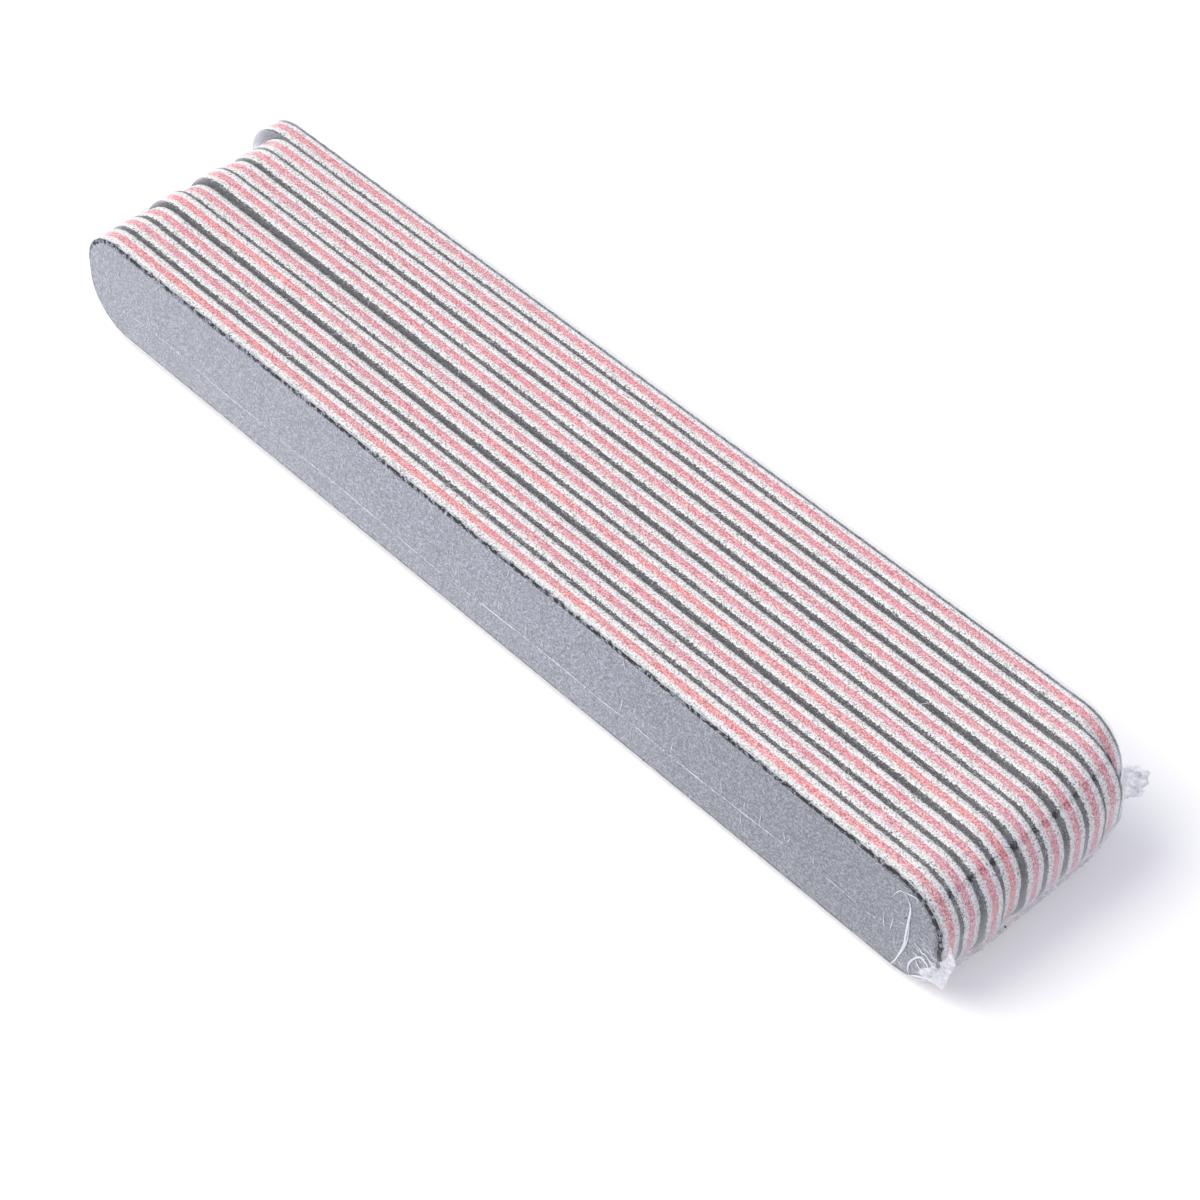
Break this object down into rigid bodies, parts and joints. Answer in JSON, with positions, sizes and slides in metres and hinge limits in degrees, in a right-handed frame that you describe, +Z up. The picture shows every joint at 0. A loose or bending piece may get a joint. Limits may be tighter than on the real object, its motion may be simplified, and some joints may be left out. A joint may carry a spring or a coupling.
{
  "type": "emery board pack",
  "caption": "Shrink-wrapped pack of straight double-sided emery boards with rounded ends, foam cushions and pink cores, standing on their long edges in clear film.",
  "frame": {"origin": "centre of the bounding box, on the surface the pack stands on", "axes": "+X along the boards towards the end with the film tails, +Y from the front board to the back board, +Z up"},
  "size_m": [0.1838, 0.0424, 0.0211],
  "materials": {
    "grit": "fine sandpaper, matt with a faint sparkle",
    "foam": "die-cut foam edge, matt",
    "core": "die-cut plastic edge, slightly mottled",
    "film": "clear shrunk film, glossy"
  },
  "bodies": {
    "root": {"board_01_front_grit": "grit", "board_01_front_foam": "foam", "board_01_core": "core", "board_01_back_foam": "foam", "board_01_back_grit": "grit", "board_02_front_grit": "grit", "board_02_front_foam": "foam", "board_02_core": "core", "board_02_back_foam": "foam", "board_02_back_grit": "grit", "board_03_front_grit": "grit", "board_03_front_foam": "foam", "board_03_core": "core", "board_03_back_foam": "foam", "board_03_back_grit": "grit", "board_04_front_grit": "grit", "board_04_front_foam": "foam", "board_04_core": "core", "board_04_back_foam": "foam", "board_04_back_grit": "grit", "board_05_front_grit": "grit", "board_05_front_foam": "foam", "board_05_core": "core", "board_05_back_foam": "foam", "board_05_back_grit": "grit", "board_06_front_grit": "grit", "board_06_front_foam": "foam", "board_06_core": "core", "board_06_back_foam": "foam", "board_06_back_grit": "grit", "board_07_front_grit": "grit", "board_07_front_foam": "foam", "board_07_core": "core", "board_07_back_foam": "foam", "board_07_back_grit": "grit", "board_08_front_grit": "grit", "board_08_front_foam": "foam", "board_08_core": "core", "board_08_back_foam": "foam", "board_08_back_grit": "grit", "board_09_front_grit": "grit", "board_09_front_foam": "foam", "board_09_core": "core", "board_09_back_foam": "foam", "board_09_back_grit": "grit", "board_10_front_grit": "grit", "board_10_front_foam": "foam", "board_10_core": "core", "board_10_back_foam": "foam", "board_10_back_grit": "grit", "film_wrap": "film"}
  },
  "joints": []
}
